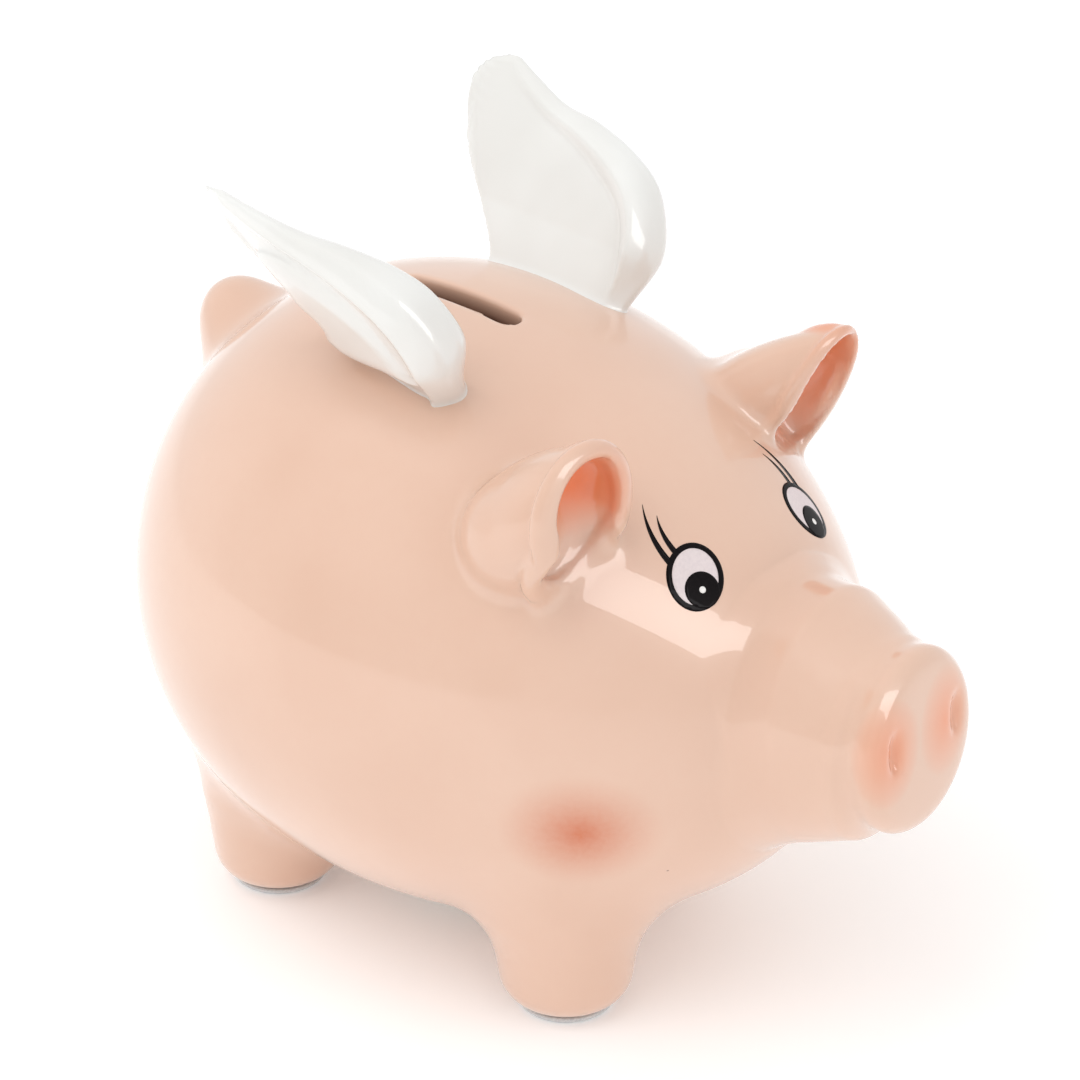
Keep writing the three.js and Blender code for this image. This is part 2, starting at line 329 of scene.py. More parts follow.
def cut_nostrils(clay):
    y, z = SHELL_LOW[1] + 0.5, SNOUT["z"] + 2.2
    for side in (-1, 1):
        clay.cut(
            (side * 9.2 - 6, y - 6, z - 9),
            (side * 9.2 + 6, y + 8, z + 9),
            lambda x, yy, zz: np.sqrt(
                ((x - side * 9.2) / 1.1) ** 2 + ((yy - y) / 1.5) ** 2 + ((zz - z) / 3.6) ** 2
            ) - 1,
            round_over=1.6,
        )


def feet():
    """Middle of each foot, from the pads under them, with the pad's name."""
    for node in sorted(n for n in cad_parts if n.startswith("foot_pad_")):
        low, high = box_mm(node)
        yield node, (low + high) / 2, high[2]


def add_legs(clay):
    for _, middle, top in feet():
        sole = top + 0.3
        bend = [(7.5, sole), (10.2, sole + 1.0), (12.0, sole + 3.6), (12.6, sole + 7)]
        corner = smooth_curve(bend, 4, False)
        outline = [(0, sole), *corner, (13.3, 14), (14.3, 20), (15, 40), (0, 40)]
        x, y = middle[:2]
        clay.add((x - 26, y - 26, 0), (x + 26, y + 26, 44), upright_level(outline, x, y), round_over=9)


def add_tail(clay):
    centre = np.array([0, EGG_Y + 62.4, 97.4])
    along = unit(0, 0.72, 0.69)
    lift = unit(0, -0.69, 0.72)

    def level(x, y, z):
        dy, dz = y - centre[1], z - centre[2]
        v = (dy * along[1] + dz * along[2]) / 12.6
        w = (dy * lift[1] + dz * lift[2]) / 9.0
        return np.sqrt((x / (10.2 - 0.8 * v)) ** 2 + v**2 + w**2) - 1

    clay.add((-28, 46, 66), (28, SHELL_HIGH[1] + 10, 122), level, round_over=8)


EAR_CENTRE = np.array([31.6, EGG_Y - 34.9, 103.9])
EAR_ALONG = unit(0.12, -0.74, 0.66)
EAR_SIDE = across_to((0.9, -0.2, -0.39), EAR_ALONG)
EAR_BACK = np.cross(EAR_ALONG, EAR_SIDE)
EAR_ROOT = np.array([34.0, EGG_Y - 28.6, 99.4])
CUP = {"centre": np.array([32.8, EGG_Y - 43.4, 107.0]), "depth": 7.0, "long": 12.0, "wide": 6.8}
CUP_FACING = unit(0.16, -0.975, -0.12)
# Left (1) and right (-1) ear, each bent as given: the face's tip upwards and turn towards the middle in
# degrees, lean of its lower end outwards, thickness of the back, size of the root, how fast the trough
# opens below, size of the rolled lip, length of the sprayed colour, and how far the ear is set outwards.
EAR_SET = {
    1: {
        "nod": -13, "turn": 9, "lean": -0.3, "back": 7.6, "root": 9.0,
        "open": 0.08, "lip": 1.2, "spray": 16, "out": 0.0,
    },
    -1: {
        "nod": 11, "turn": 0, "lean": 0.3, "back": 10.6, "root": 7.6,
        "open": 0.5, "lip": 1.9, "spray": 9, "out": 1.5,
    },
}


def along_axes(x, y, z, origin, *axes):
    """A point's coordinates along each axis, measured from origin."""
    dx, dy, dz = x - origin[0], y - origin[1], z - origin[2]
    return [dx * a[0] + dy * a[1] + dz * a[2] for a in axes]


def ear_level(x, y, z, side):
    """The ear's outer form on the pig's left: a fat leaf that leans forwards, over a round root."""
    x = x - EAR_SET[side]["out"]
    v, s, f = along_axes(x, y, z, EAR_CENTRE, EAR_ALONG, EAR_SIDE, EAR_BACK)
    v = v / 20.5
    thick = np.where(f > 0, EAR_SET[side]["back"], 10.6) - 1.6 * v
    leaf = np.sqrt(v**2 + (s / (12.2 - 2.0 * v)) ** 2 + (f / thick) ** 2) - 1
    dx, dy, dz = along_axes(x, y, z, EAR_ROOT, *np.eye(3))
    root = np.sqrt(dx**2 + dy**2 + dz**2) / EAR_SET[side]["root"] - 1
    return soft_min(leaf * 10, root * 10, 5.0)


def cup_axes(side):
    """Out of the cup, down it and across it, for one ear carried to the left."""
    nod = math.radians(EAR_SET[side]["nod"])
    turn = math.radians(EAR_SET[side]["turn"])
    x, y, z = CUP_FACING
    x, y = x * math.cos(turn) + y * math.sin(turn), y * math.cos(turn) - x * math.sin(turn)
    out = np.array([x, y * math.cos(nod) + z * math.sin(nod), z * math.cos(nod) - y * math.sin(nod)])
    down = across_to((EAR_SET[side]["lean"], 0.37, -0.93), out)
    return out, down, np.cross(down, out)


def ear_cup_level(x, y, z, side):
    """What is cut away in front of the ear: all beyond its face, and a trough whose lower end is open."""
    o, d, a = along_axes(x - EAR_SET[side]["out"], y, z, CUP["centre"], *cup_axes(side))
    opening = EAR_SET[side]["open"] * np.maximum(d + 2, 0)
    across = (-a - CUP["wide"]) / (CUP["wide"] + opening) + 1
    trough = np.sqrt((o / CUP["depth"]) ** 2 + (np.minimum(d, 0) / CUP["long"]) ** 2 + across**2) - 1
    return soft_min(trough * CUP["wide"], 0.6 - o, 1.5)


def add_ears(clay):
    """Each ear is hollowed and its edge rolled before it is joined on, so that the head stays whole."""
    low, high = EAR_CENTRE - (26, 26, 24), EAR_CENTRE + (22, 24, 26)
    for side in (1, -1):
        corner_x = sorted((side * low[0], side * high[0]))
        part, x, y, z = clay.window((corner_x[0], low[1], low[2]), (corner_x[1], high[1], high[2]))
        cone = as_distance(ear_level(side * x, y, z, side), clay.step)
        cup = as_distance(ear_cup_level(side * x, y, z, side), clay.step)
        roll = np.hypot(cup, cone - 0.1) - EAR_SET[side]["lip"]
        ear = soft_min(-soft_min(-cone, cup, 1.5), roll, 0.7)
        clay.field[part] = soft_min(clay.field[part], ear, 3.5)


def slot_level(x, y, z):
    """The coin slot: a bar with round ends, cut from above down into the hollow."""
    half = (SLOT["length"] - SLOT["width"]) / 2
    beyond = np.maximum(np.abs(y - SLOT_Y) - half, 0)
    around = np.hypot(x - SLOT["x"], beyond) - SLOT["width"] / 2
    return np.maximum(around + 0 * z, (SHELL_HIGH[2] - 22 - z) + 0 * around)


SLOT_Y = EGG_Y + SLOT["y"]
STOPPER_LOW, STOPPER_HIGH = box_mm("stopper")
STOPPER_Y = (STOPPER_LOW[1] + STOPPER_HIGH[1]) / 2


def hole_level(x, y, z):
    """The belly hole for the stopper, with the wider recess below it."""
    radius = np.hypot(x, y - STOPPER_Y)
    hole = np.maximum(radius - STOPPER["hole"], z - 28)
    recess = np.maximum(radius - STOPPER["recess"], z - STOPPER["seat"])
    return np.minimum(hole, recess)


def hollow(clay):
    """The inside that slip casting leaves, which ends above the stopper's recess."""
    part, x, y, z = clay.window(clay.low, SHELL_HIGH + 10)
    inside = as_distance(egg_level(x, y, z), clay.step) + WALL
    radius = np.hypot(x, y - STOPPER_Y)
    boss = np.maximum(radius - STOPPER["recess"] - WALL, z - STOPPER["seat"] - WALL)
    return -soft_min(-inside, boss, 2.0)


def ceramic_skin():
    """Body, legs, snout, ears and tail as one slip-cast and glazed surface."""
    clay = Clay((-64, SHELL_LOW[1] - 5, -1), (64, SHELL_HIGH[1] + 8, 125), SKIN_STEP)
    clay.add(clay.low, (64, 100, 126), egg_level)
    add_snout(clay)
    add_legs(clay)
    add_tail(clay)
    add_ears(clay)
    cut_nostrils(clay)
    inside = hollow(clay)
    clay.field = np.maximum(clay.field, -inside)
    clay.cut((-6, SLOT_Y - 20, 90), (6, SLOT_Y + 20, 126), slot_level, round_over=SLOT["lip"])
    clay.cut((-20, STOPPER_Y - 20, 0), (20, STOPPER_Y + 20, 32), hole_level, round_over=0.9)
    points, quads = clay.surface()
    skin = mesh_object("body_skin", points, quads)
    thin_out_inside(skin)
    settle_normals(skin, clay)
    paint_blush(skin)
    paint_bare_and_shade(skin)
    return skin


def thin_out_inside(skin):
    """Fewer faces on the hollow's wall, which shows only through the slot and the belly hole."""
    points = coordinates(skin)
    depth = egg_distance(*points.T)
    hidden = np.nonzero(depth < -WALL + 0.6)[0]
    group = skin.vertex_groups.new(name="inside")
    group.add(hidden.tolist(), 1.0, "REPLACE")
    thinner = skin.modifiers.new("thinner", "DECIMATE")
    thinner.ratio = 1 - 0.8 * len(hidden) / len(points)
    thinner.vertex_group = "inside"
    thinner.vertex_group_factor = 1.0
    apply_modifiers(skin)


def settle_normals(skin, clay):
    """Shading normals straight from the field, so that reflections run clean over the glaze."""
    normals = clay.normals_at(coordinates(skin))
    skin.data.normals_split_custom_set_from_vertices(normals.tolist())


def soft_spot(points, centre, radii, power=1.6):
    """1 at a spot's centre, falling softly to 0 at its radii."""
    away = np.sqrt((((points - centre) / radii) ** 2).sum(1))
    return np.clip(1 - away, 0, 1) ** power


def paint_blush(skin):
    """Airbrushed colour as point attributes: one for the cheeks, one for nostrils and insides of ears."""
    points = coordinates(skin)
    blush = np.zeros(len(points))
    lining = np.zeros(len(points))
    for side in (1, -1):
        p = points * (side, 1, 1)
        cheek = soft_spot(p, np.array([39.1, EGG_Y - 46.8, 48.1]), np.array([17, 14.5, 13]), 1.25)
        spray = np.array([8.0 - 2.4 * side, SHELL_LOW[1] + 0.6, SNOUT["z"] + 2.4])
        nostril = soft_spot(p, spray, np.array([7.8, 7, 10.5]), 0.75)
        blush = np.maximum(blush, cheek * 0.93)
        lining = np.maximum(lining, np.maximum(nostril * 0.62, ear_blush(p, side)))
    set_layer(skin, "blush", blush)
    set_layer(skin, "lining", lining)


def paint_bare_and_shade(skin):
    """How deep a point lies in the hollow, the slot or the belly hole, as a point attribute that darkens
    the colour there: partly the bare clay that the glaze thins out to, and partly painted shade of the
    hollow.
    """
    depth = egg_distance(*coordinates(skin).T)
    set_layer(skin, "bare_and_shade", np.clip((-depth - 0.6) / (WALL - 1.2), 0, 1))


def set_layer(made, name, values):
    layer = made.data.attributes.new(name, "FLOAT", "POINT")
    layer.data.foreach_set("value", np.asarray(values, np.float32))


def ear_blush(points, side):
    """Strongest high in the ear's trough, with a fainter streak down its outer side."""
    moved = points - (EAR_SET[side]["out"], 0, 0)
    o, d, a = along_axes(*moved.T, CUP["centre"], *cup_axes(side))
    lined = np.clip(1.4 - ear_cup_level(*points.T, side) / 1.2, 0, 1)
    spray = EAR_SET[side]["spray"]
    top = np.sqrt(((o + 5) / 9) ** 2 + ((d + 8 - spray / 3) / spray) ** 2 + (a / 9.5) ** 2)
    streak = np.sqrt(((o + 4) / 7) ** 2 + ((d - 5) / 9) ** 2 + ((-a - 2) / 3.5) ** 2)
    return lined * (np.clip(1.3 - top, 0, 1) + 0.35 * np.clip(1 - streak, 0, 1))


# ---------------------------------------------------------------- wings

WING_ROOT = np.array([24.5, EGG_Y + 6.9, 115.0])
WING_FORWARD = unit(0.086, -0.991, -0.098)
WING_UP = across_to((0.428, -0.052, 0.902), WING_FORWARD)
WING_OUT = np.cross(WING_UP, WING_FORWARD)

# Outlines drawn forward (a) and up (b) from the root, in the wing's own plane.
WING_LEAF = [
    (10.5, -8), (15, 2), (16.9, 12), (12.4, 22), (5, 27), (-4.5, 30), (-13, 31), (-21.5, 34.2), (-27, 36.3),
    (-32.4, 33.6), (-33.2, 26.5), (-29.6, 18), (-22.4, 9.4), (-16.2, 1.5), (-12, -8), (0, -12),
]
WING_SHOULDER = [
    (10, -8), (14.6, 3), (16.6, 12), (12.2, 21.8), (5, 26.8), (-5, 29.6), (-13, 30.8), (-21.5, 34),
    (-27, 36), (-26, 31.8), (-17, 27.4), (-8, 24.6), (0, 21), (6.5, 16.4), (9.4, 10), (9.6, 3), (8, -8),
]
WING_FEATHER = [
    (12, 8), (9, 5.6), (3, 4.8), (-3, 3.6), (-8.4, 3.2), (-12.4, 5.4), (-12.6, 9.2), (-16.6, 11.6),
    (-18.6, 15.4), (-20.8, 19), (-21.6, 24), (-14, 26), (-4, 23), (6, 17),
]


def leaf_level(a, b, t, outline, middle, thick, edge):
    """A leaf blown up from an outline: round at its edge, thick further in."""
    inwards = np.clip(-outline_distance(a, b, smooth_curve(outline)) / edge, -4, 1)
    return np.sqrt((1 - inwards) ** 2 + ((t - middle) / thick) ** 2) - 1


def wing_mesh():
    """The left wing: a thick leaf with a swollen shoulder and a lower row of feathers on its outer face."""
    low = np.array([-38, -14, -14])
    high = np.array([22, 42, 16])
    clay = Clay(low, high, WING_STEP)
    part, a, b, t = clay.window(low, high)
    tip = np.clip((14 - a) / 45, 0, 1)
    neck = np.clip((10 - b) / 15, 0, 1)
    twist = np.clip(0.35 * tip**2 * (0.75 * a + 0.66 * b - 6), -4, 4)
    curl = 7.6 * tip**2 - 1.5 * tip + twist
    slim = 1 - 0.84 * tip
    leaf = leaf_level(a, b, t, WING_LEAF, curl - 0.8 - 3.0 * neck, 5.2 * slim * (1 - 0.3 * neck), 9.0)
    shoulder = leaf_level(a, b, t, WING_SHOULDER, curl - 2.0 * slim, 7.0 * slim * (1 - 0.45 * neck), 6.0)
    feather = leaf_level(a, b, t, WING_FEATHER, curl + 1.6, 3.4 * slim, 4.5)
    leaf, shoulder, feather = (as_distance(level, clay.step) for level in (leaf, shoulder, feather))
    wing = soft_min(soft_min(leaf, feather, 1.2), shoulder, 0.8)
    x, y, z = (
        WING_ROOT[i] + a * WING_FORWARD[i] + b * WING_UP[i] + t * WING_OUT[i] for i in range(3)
    )
    body = as_distance(egg_level(x, y, z), clay.step)
    clay.field = np.maximum(soft_min(wing, body + 0.9, 2.2), -(body + 1.6)).astype(np.float32)
    points, quads = clay.surface()
    normals = clay.normals_at(points)
    axes = np.array([WING_FORWARD, WING_UP, WING_OUT])
    return points @ axes + WING_ROOT, quads, normals @ axes


def add_wings():
    points, quads, normals = wing_mesh()
    quads = facing_out(points, quads)
    made = []
    for name, side in (("wing_left", 1), ("wing_right", -1)):
        flip = np.array([side, 1, 1])
        wing = mesh_object(name + "_skin", points * flip, quads if side > 0 else quads[:, ::-1])
        wing.data.normals_split_custom_set_from_vertices((normals * flip).tolist())
        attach(wing, "bank")
        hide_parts(name)
        made.append(wing)
    return made


# ---------------------------------------------------------------- printed eyes

EYE_OUT = unit(0.28, -0.66, 0.69)
EYE_ACROSS = across_to((0.85, 0.52, 0.15), EYE_OUT)
EYE_UP = np.cross(EYE_OUT, EYE_ACROSS)
EYE_CENTRE = np.array([13.4, EGG_Y - 52.2, 92.0])
RING = {"x": 1.5, "y": -2.3, "wide": 5.3, "tall": 6.1, "stroke": 1.05, "turn": 0.1}
PUPIL = {"x": 0.5, "y": -4.7, "radius": 3.25, "glint": 0.6}
LASHES = [((5.6, 0.0), (9.3, 5.0), (9.0, 11.2), 0.55), ((4.4, 1.9), (6.9, 5.4), (6.8, 9.0), 0.5)]


def ellipse(x, y, wide, tall, turn=0.0, count=72):
    angle = np.linspace(0, 2 * math.pi, count, endpoint=False)
    u, v = wide * np.cos(angle), tall * np.sin(angle)
    cos, sin = math.cos(turn), math.sin(turn)
    return np.stack([x + u * cos - v * sin, y + u * sin + v * cos], 1)


def lash(start, bend, tip, thick, steps=22):
    """A tapering stroke: out along one side and back along the other."""
    start, bend, tip = (np.array(p) for p in (start, bend, tip))
    t = np.linspace(0, 1, steps)[:, None]
    line = (1 - t) ** 2 * start + 2 * t * (1 - t) * bend + t**2 * tip
    run = np.gradient(line, axis=0)
    normal = np.stack([-run[:, 1], run[:, 0]], 1) / np.linalg.norm(run, axis=1)[:, None]
    half = thick * (1 - t**1.6) + 0.03
    return np.concatenate([line + normal * half, (line - normal * half)[::-1]])


def ring_outline(inset):
    return ellipse(RING["x"], RING["y"], RING["wide"] - inset, RING["tall"] - inset, RING["turn"])


def flat_fill(outline, spacing=0.45):
    """Triangles that fill an outline, with points inside it so that it can bend."""
    low, high = outline.min(0), outline.max(0)
    u, v = np.meshgrid(np.arange(low[0], high[0], spacing), np.arange(low[1], high[1], spacing))
    inner = np.stack([u.ravel(), v.ravel()], 1)
    inner = inner[outline_distance(inner[:, 0], inner[:, 1], outline) < -0.6 * spacing]
    points = np.concatenate([outline, inner])
    edges = [(i, (i + 1) % len(outline)) for i in range(len(outline))]
    found = delaunay_2d_cdt([Vector(p) for p in points], edges, [list(range(len(outline)))], 1, 1e-6)
    return np.array([tuple(p) for p in found[0]]), [tuple(f) for f in found[2]], len(outline)


def onto_skin(flat, tree, side, lift):
    """Carries points of the eye's plane onto the glaze, raised by lift."""
    flip = np.array([side, 1, 1])
    away = EYE_OUT * flip
    placed = []
    for u, v in flat:
        start = (EYE_CENTRE + EYE_ACROSS * u + EYE_UP * v) * flip + away * 14
        hit, normal, _, _ = tree.ray_cast(Vector(start * MM), Vector(-away))
        placed.append(np.array(hit + normal * lift * MM) / MM)
    return np.array(placed)


def print_on(name, outlines, tree, side, lift):
    """A thin closed layer of print that follows the glaze."""
    all_points, all_faces, total = [], [], 0
    for outline in outlines:
        flat, faces, rim = flat_fill(outline)
        count = len(flat)
        all_points += [onto_skin(flat, tree, side, lift), onto_skin(flat, tree, side, -0.15)]
        for a, b, c in faces:
            all_faces.append((a + total, b + total, c + total))
            all_faces.append((c + total + count, b + total + count, a + total + count))
        for i in range(rim):
            j = (i + 1) % rim
            all_faces += [(i + total, i + total + count, j + total + count, j + total)]
        total += 2 * count
    if side < 0:
        all_faces = [f[::-1] for f in all_faces]
    return mesh_object(name, np.concatenate(all_points), all_faces)


def add_eyes(skin, black, white, glint):
    tree = BVHTree.FromObject(skin, bpy.context.evaluated_depsgraph_get())
    pupil = ellipse(PUPIL["x"], PUPIL["y"], PUPIL["radius"], PUPIL["radius"])
    spark = ellipse(PUPIL["x"], PUPIL["y"], PUPIL["glint"], PUPIL["glint"], count=28)
    for name, side in (("left", 1), ("right", -1)):
        layers = (
            ("eye_print_black", [ring_outline(0), *[lash(*stroke) for stroke in LASHES]], 0.05, black),
            ("eye_print_white", [ring_outline(RING["stroke"])], 0.08, white),
            ("eye_pupil", [pupil], 0.11, black),
            ("eye_glint", [spark], 0.14, glint),
        )
        for part, outlines, lift, material in layers:
            made = print_on(f"{part}_{name}_film", outlines, tree, side, lift)
            made.data.materials.append(material)
            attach(made, "bank")
            if part != "eye_pupil":
                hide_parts(f"{part}_{name}")


# ---------------------------------------------------------------- stopper and pads


def lathe_mesh(name, profile, centre, segments=96):
    """A closed turned piece from (radius, height) points that start and end on the axis."""
    points, faces = [], []
    rings = []
    for r, h in profile:
        if r < 1e-6:
            rings.append([len(points)])
            points.append((centre[0], centre[1], h))
            continue
        rings.append(list(range(len(points), len(points) + segments)))
        for k in range(segments):
            angle = 2 * math.pi * k / segments
            points.append((centre[0] + r * math.cos(angle), centre[1] + r * math.sin(angle), h))
    for low, high in zip(rings, rings[1:]):
        for k in range(segments):
            n = (k + 1) % segments
            if len(low) == 1:
                faces.append((low[0], high[n], high[k]))
            elif len(high) == 1:
                faces.append((low[k], low[n], high[0]))
            else:
                faces.append((low[k], low[n], high[n], high[k]))
    return mesh_object(name, np.array(points), faces)


def rounded(profile, radius, steps=5):
    """A profile with its inner corners rounded."""
    points = [np.array(p, float) for p in profile]
    out = [points[0]]
    for before, here, after in zip(points, points[1:], points[2:]):
        into, away = before - here, after - here
        reach = min(radius, np.linalg.norm(into) * 0.45, np.linalg.norm(away) * 0.45)
        start = here + into / np.linalg.norm(into) * reach
        end = here + away / np.linalg.norm(away) * reach
        for t in np.linspace(0, 1, steps):
            out.append((1 - t) ** 2 * start + 2 * t * (1 - t) * here + t**2 * end)
    out.append(points[-1])
    return out


def add_stopper(rubber):
    top = STOPPER["seat"] - 0.3
    neck = STOPPER["hole"] - 0.3
    flange = STOPPER["flange"]
    under = top - 3
    profile = [
        (0, under + 1.6), (8, under + 1.6), (9, under), (flange, under), (flange, top), (neck, top),
        (neck, top + WALL + 0.6), (neck - 1.6, top + WALL + 4), (neck - 4, top + WALL + 4.4),
        (neck - 4.4, top + 3), (0, top + 3),
    ]
    plug = lathe_mesh("stopper_plug", rounded(profile, 0.7), (0, STOPPER_Y))
    grip = mesh_object("stopper_grip", *grip_bar(under))
    for piece in (plug, grip):
        piece.data.materials.append(rubber)
        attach(piece, "stopper")
    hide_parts("stopper")


def grip_bar(under, long=15.0, wide=2.6, deep=2.0, around=16, along=12):
    """The finger bar across the stopper's dish: a bar with a round underside."""
    points, faces = [], []
    for i in range(along + 1):
        x = -long / 2 + long * i / along
        for k in range(around):
            angle = 2 * math.pi * k / around
            y = STOPPER_Y + wide / 2 * math.cos(angle)
            points.append((x, y, under + 1.25 + deep / 2 * math.sin(angle)))
    for i in range(along):
        for k in range(around):
            n = (k + 1) % around
            a, b = i * around, (i + 1) * around
            faces.append((a + k, b + k, b + n, a + n))
    faces.append(tuple(range(around)))
    faces.append(tuple(along * around + k for k in reversed(range(around))))
    return np.array(points), faces


def add_pads(felt):
    for node, middle, top in feet():
        low, high = box_mm(node)
        radius = (high[0] - low[0]) / 2
        bottom = [(0, 0.0), (radius - 0.5, 0.0), (radius, 0.5)]
        profile = [*bottom, (radius, top - 0.2), (radius - 0.3, top), (0, top)]
        pad = lathe_mesh(node + "_disc", rounded(profile, 0.4, 3), middle[:2])
        pad.data.materials.append(felt)
        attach(pad, "bank")
        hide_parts(node)


# ---------------------------------------------------------------- materials

def srgb(r, g, b):
    """Scene colour of an sRGB colour given from 0 to 255."""
    def linear(c):
        c /= 255
        return c / 12.92 if c <= 0.04045 else ((c + 0.055) / 1.055) ** 2.4
    return (linear(r), linear(g), linear(b), 1.0)


class Finish:
    """A node material that is built up one node at a time."""

    def __init__(self, name):
        self.material = bpy.data.materials.new(name)
        self.material.use_nodes = True
        self.tree = self.material.node_tree
        self.shader = next(n for n in self.tree.nodes if n.type == "BSDF_PRINCIPLED")
        self.place = self.node("ShaderNodeTexCoord").outputs["Object"]

    def node(self, kind, **settings):
        made = self.tree.nodes.new(kind)
        for key, value in settings.items():
            setattr(made, key, value)
        return made

    def link(self, output, entry):
        self.tree.links.new(output, entry)

    def noise(self, size_mm, detail=2.0, roughness=0.5):
        """Noise whose lumps are about size_mm across."""
        made = self.node("ShaderNodeTexNoise")
        made.inputs["Scale"].default_value = 1000.0 / size_mm
        made.inputs["Detail"].default_value = detail
        made.inputs["Roughness"].default_value = roughness
        self.link(self.place, made.inputs["Vector"])
        return made.outputs["Fac"]

    def spread(self, value, low, high, to_low=0.0, to_high=1.0):
        made = self.node("ShaderNodeMapRange", interpolation_type="SMOOTHSTEP")
        for name, number in zip(("From Min", "From Max", "To Min", "To Max"), (low, high, to_low, to_high)):
            made.inputs[name].default_value = number
        self.link(value, made.inputs["Value"])
        return made.outputs["Result"]

    def mix(self, share, first, second):
        made = self.node("ShaderNodeMix", data_type="RGBA")
        sockets = {s.identifier: s for s in made.inputs}
        self.link(share, sockets["Factor_Float"])
        for key, colour in (("A_Color", first), ("B_Color", second)):
            if isinstance(colour, tuple):
                sockets[key].default_value = colour
            else:
                self.link(colour, sockets[key])
        return next(s for s in made.outputs if s.identifier == "Result_Color")

    def math(self, operation, first, second):
        made = self.node("ShaderNodeMath", operation=operation)
        for entry, value in zip(made.inputs, (first, second)):
            if isinstance(value, (int, float)):
                entry.default_value = value
            else:
                self.link(value, entry)
        return made.outputs[0]

    def bump(self, height, strength, distance_mm):
        made = self.node("ShaderNodeBump")
        made.inputs["Strength"].default_value = strength
        made.inputs["Distance"].default_value = distance_mm * MM
        self.link(height, made.inputs["Height"])
        self.link(made.outputs["Normal"], self.shader.inputs["Normal"])

    def colour(self, socket):
        self.link(socket, self.shader.inputs["Base Color"])

    def settings(self, **values):
        for name, value in values.items():
            self.shader.inputs[name.replace("_", " ")].default_value = value


def specks(finish, spacing_mm, size, share):
    """Tiny pinholes and iron specks scattered in a glaze: 1 on a speck."""
    cells = finish.node("ShaderNodeTexVoronoi")
    cells.inputs["Scale"].default_value = 1000.0 / spacing_mm
    finish.link(finish.place, cells.inputs["Vector"])
    dot = finish.spread(cells.outputs["Distance"], size, size * 1.8, 1.0, 0.0)
    parts = finish.node("ShaderNodeSeparateColor")
    finish.link(cells.outputs["Color"], parts.inputs["Color"])
    chosen = finish.math("LESS_THAN", parts.outputs[0], share)
    return finish.math("MULTIPLY", dot, chosen)


def glazed(finish, waviness=0.012):
    """Clear shiny glaze over a matt body, with the faint waves that a fired glaze has."""
    finish.settings(Roughness=0.32, IOR=1.5, Coat_Weight=1.0, Coat_Roughness=0.025, Coat_IOR=1.5)
    waves = finish.math("ADD", finish.noise(14, 1.0), finish.math("MULTIPLY", finish.noise(5, 1.0), 0.25))
    finish.bump(waves, 1.0, waviness)


def peach_glaze():
    finish = Finish("peach_glaze")
    cloud = finish.spread(finish.noise(38, 2.0), 0.3, 0.7)
    base = finish.mix(cloud, srgb(226, 189, 167), srgb(221, 182, 159))
    fine = finish.spread(finish.noise(2.2, 3.0), 0.35, 0.75, 0.0, 0.12)
    base = finish.mix(fine, base, srgb(222, 178, 156))
    blush = finish.node("ShaderNodeAttribute", attribute_name="blush").outputs["Fac"]
    spray = finish.math("MULTIPLY", blush, finish.spread(finish.noise(1.1, 2.0), 0.2, 0.8, 0.94, 1.06))
    base = finish.mix(spray, base, srgb(200, 92, 24))
    lining = finish.node("ShaderNodeAttribute", attribute_name="lining").outputs["Fac"]
    base = finish.mix(lining, base, srgb(236, 112, 6))
    base = finish.mix(specks(finish, 13, 0.014, 0.12), base, srgb(150, 112, 96))
    # Darker with depth into the hollow, the slot and the belly hole: bare clay, and painted shade of the
    # hollow.
    bare_and_shade = finish.node("ShaderNodeAttribute", attribute_name="bare_and_shade").outputs["Fac"]
    finish.colour(finish.mix(bare_and_shade, base, srgb(132, 92, 76)))
    glazed(finish)
    return finish.material


def white_glaze():
    finish = Finish("white_glaze")
    cloud = finish.spread(finish.noise(22, 2.0), 0.3, 0.7)
    base = finish.mix(cloud, srgb(235, 235, 232), srgb(228, 227, 223))
    base = finish.mix(specks(finish, 15, 0.012, 0.1), base, srgb(170, 160, 150))
    finish.colour(base)
    glazed(finish)
    return finish.material


def print_ink(name, dark, light):
    """Ceramic decal ink under the clear glaze."""
    finish = Finish(name)
    grain = finish.spread(finish.noise(0.5, 2.0), 0.3, 0.7)
    finish.colour(finish.mix(grain, dark, light))
    glazed(finish, 0.006)
    finish.settings(Coat_Weight=0.12, IOR=1.12)
    return finish.material


def soft_rubber():
    finish = Finish("soft_rubber")
    cloud = finish.spread(finish.noise(9, 3.0), 0.3, 0.7)
    finish.colour(finish.mix(cloud, srgb(226, 223, 214), srgb(214, 210, 200)))
    finish.settings(IOR=1.45, Subsurface_Weight=0.12, Subsurface_Scale=0.003)
    sheen = finish.spread(finish.noise(3, 3.0), 0.2, 0.8, 0.42, 0.58)
    finish.link(sheen, finish.shader.inputs["Roughness"])
    finish.bump(finish.noise(0.7, 4.0), 0.35, 0.06)
    return finish.material


def felt():
    finish = Finish("felt")
    fibre = finish.noise(0.45, 6.0, 0.7)
    finish.colour(finish.mix(finish.spread(fibre, 0.3, 0.7), srgb(205, 205, 206), srgb(228, 228, 228)))
    finish.settings(Roughness=0.95, Sheen_Weight=0.35)
    finish.bump(fibre, 0.9, 0.25)
    return finish.material


def floor_paper():
    finish = Finish("floor_paper")
    grain = finish.spread(finish.noise(1.5, 3.0), 0.3, 0.7)
    finish.colour(finish.mix(grain, srgb(250, 250, 250), srgb(248, 248, 248)))
    finish.settings(Roughness=0.7, Emission_Color=(1, 1, 1, 1), Emission_Strength=0.16)
    return finish.material


# ---------------------------------------------------------------- stage, lights and camera


def add_floor():
    size = 2.6
    mesh = bpy.data.meshes.new("floor")
    corners = [(-size, -size, 0), (size, -size, 0), (size, size, 0), (-size, size, 0)]
    mesh.from_pydata(corners, [], [(0, 1, 2, 3)])
    floor = bpy.data.objects.new("floor", mesh)
    bpy.context.scene.collection.objects.link(floor)
    mesh.materials.append(floor_paper())


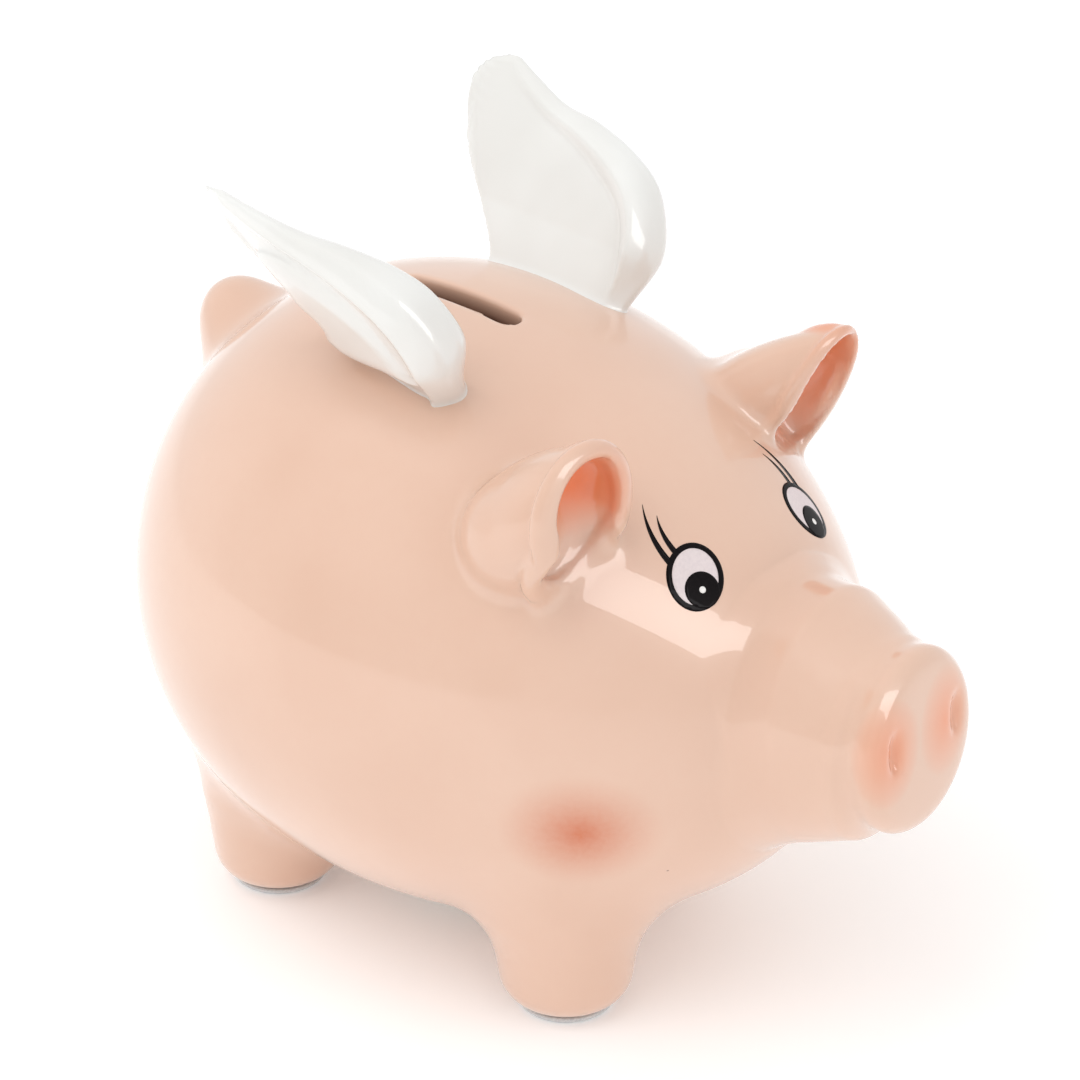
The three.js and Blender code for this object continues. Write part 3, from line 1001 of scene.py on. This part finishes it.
def toward(azimuth, elevation):
    """Unit vector to a place seen at that azimuth from -Y and that elevation, in degrees."""
    a, e = math.radians(azimuth), math.radians(elevation)
    return Vector((math.sin(a) * math.cos(e), -math.cos(a) * math.cos(e), math.sin(e)))


def softbox(name, place, aim, along, size, radiance):
    """A rectangular light at place, turned to aim, with its length along a direction."""
    data = bpy.data.lights.new(name, "AREA")
    data.shape = "RECTANGLE"
    data.size, data.size_y = size
    data.energy = radiance * math.pi * size[0] * size[1]
    back = (place - aim).normalized()
    length = (along - along.dot(back) * back).normalized()
    lamp = bpy.data.objects.new(name, data)
    bpy.context.scene.collection.objects.link(lamp)
    turned = Matrix((length, back.cross(length), back)).transposed()
    lamp.matrix_world = Matrix.LocRotScale(place, turned, None)
    return lamp


def studio_world():
    """An even pale room with one dimmer wall, which the glaze reflects."""
    world = bpy.data.worlds.new("studio")
    world.use_nodes = True
    nodes, links = world.node_tree.nodes, world.node_tree.links
    view = nodes.new("ShaderNodeTexCoord")
    facing = nodes.new("ShaderNodeVectorMath")
    facing.operation = "DOT_PRODUCT"
    facing.inputs[1].default_value = toward(*DIM_WALL["towards"])
    links.new(view.outputs["Generated"], facing.inputs[0])
    share = nodes.new("ShaderNodeMapRange")
    share.interpolation_type = "SMOOTHSTEP"
    near, far = (math.cos(math.radians(angle)) for angle in DIM_WALL["spread"])
    ends = {"From Min": far, "From Max": near, "To Min": ROOM, "To Max": DIM_WALL["level"]}
    for name, number in ends.items():
        share.inputs[name].default_value = number
    links.new(facing.outputs["Value"], share.inputs["Value"])
    nodes["Background"].inputs["Color"].default_value = (1.0, 1.0, 1.0, 1.0)
    links.new(share.outputs["Result"], nodes["Background"].inputs["Strength"])
    bpy.context.scene.world = world


def add_lights():
    middle = (CAD_BOX[0] + CAD_BOX[1]) / 2
    studio_world()
    first, last = (toward(*end) * STRIP["away"] for end in STRIP["ends"])
    size = ((last - first).length, STRIP["width"])
    strip = softbox("strip", middle + (first + last) / 2, middle, last - first, size, STRIP["radiance"])
    strip.visible_diffuse = False
    above = toward(*OVERHEAD["towards"]) * OVERHEAD["away"]
    size, radiance = OVERHEAD["size"], OVERHEAD["radiance"]
    overhead = softbox("overhead", middle + above, middle, Vector((1, 0, 0)), size, radiance)
    overhead.visible_glossy = False


def add_camera():
    back = toward(*CAMERA["from"])
    data = bpy.data.cameras.new("camera")
    data.lens = CAMERA["lens"]
    data.sensor_width = 36.0
    data.clip_start = 0.05
    camera = bpy.data.objects.new("camera", data)
    bpy.context.scene.collection.objects.link(camera)
    camera.location = Vector(CAMERA["target"]) + back * CAMERA["away"]
    camera.rotation_mode = "QUATERNION"
    camera.rotation_quaternion = (-back).to_track_quat("-Z", "Y")
    bpy.context.scene.camera = camera


add_camera()
skin = ceramic_skin()
skin.data.materials.append(peach_glaze())
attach(skin, "bank")
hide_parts("body_shell", "ear_left", "ear_right", "tail")
white = white_glaze()
for wing in add_wings():
    wing.data.materials.append(white)
add_eyes(
    skin,
    print_ink("print_black", srgb(10, 5, 7), srgb(16, 10, 12)),
    print_ink("print_white", srgb(228, 216, 216), srgb(222, 210, 211)),
    print_ink("print_glint", srgb(246, 244, 242), srgb(240, 238, 236)),
)
add_stopper(soft_rubber())
add_pads(felt())
add_floor()
add_lights()
bpy.context.scene.view_settings.view_transform = "Standard"
